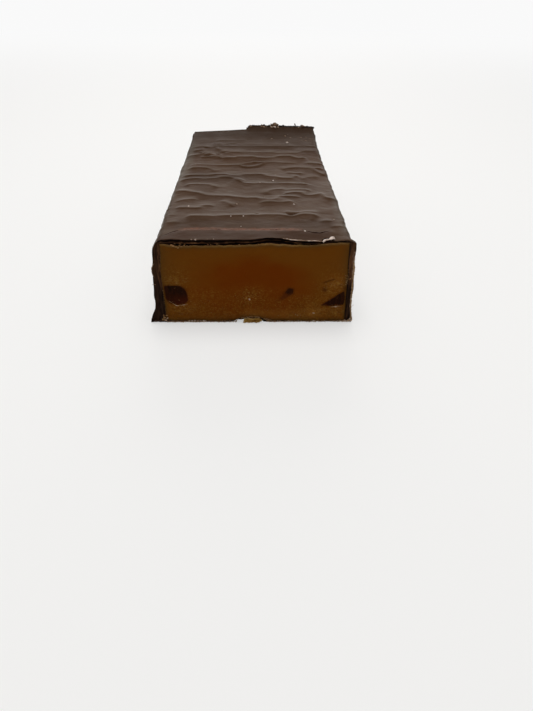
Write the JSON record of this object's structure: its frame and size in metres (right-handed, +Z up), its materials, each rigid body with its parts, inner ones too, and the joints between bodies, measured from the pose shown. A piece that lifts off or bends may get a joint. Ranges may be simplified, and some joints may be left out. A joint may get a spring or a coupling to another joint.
{
  "type": "chocolate coated ginger fudge",
  "caption": "Cut half of a fudge bar with diced stem ginger, coated all round in rippled dark chocolate, open at the cut face.",
  "frame": {"origin": "centre of the base, under the middle of the bar's box", "axes": "+Z up; +Y along the bar, from the cut face to the uncut end; +X to the right as the cut face is looked at"},
  "size_m": [0.0556, 0.1106, 0.0263],
  "materials": {
    "dark_chocolate": "satin",
    "fudge": "matte",
    "stem_ginger": "semi-gloss"
  },
  "bodies": {
    "root": {"chocolate_coat": "dark_chocolate", "fudge": "fudge", "ginger_left": "stem_ginger", "ginger_mid": "stem_ginger", "ginger_right": "stem_ginger"}
  },
  "joints": []
}
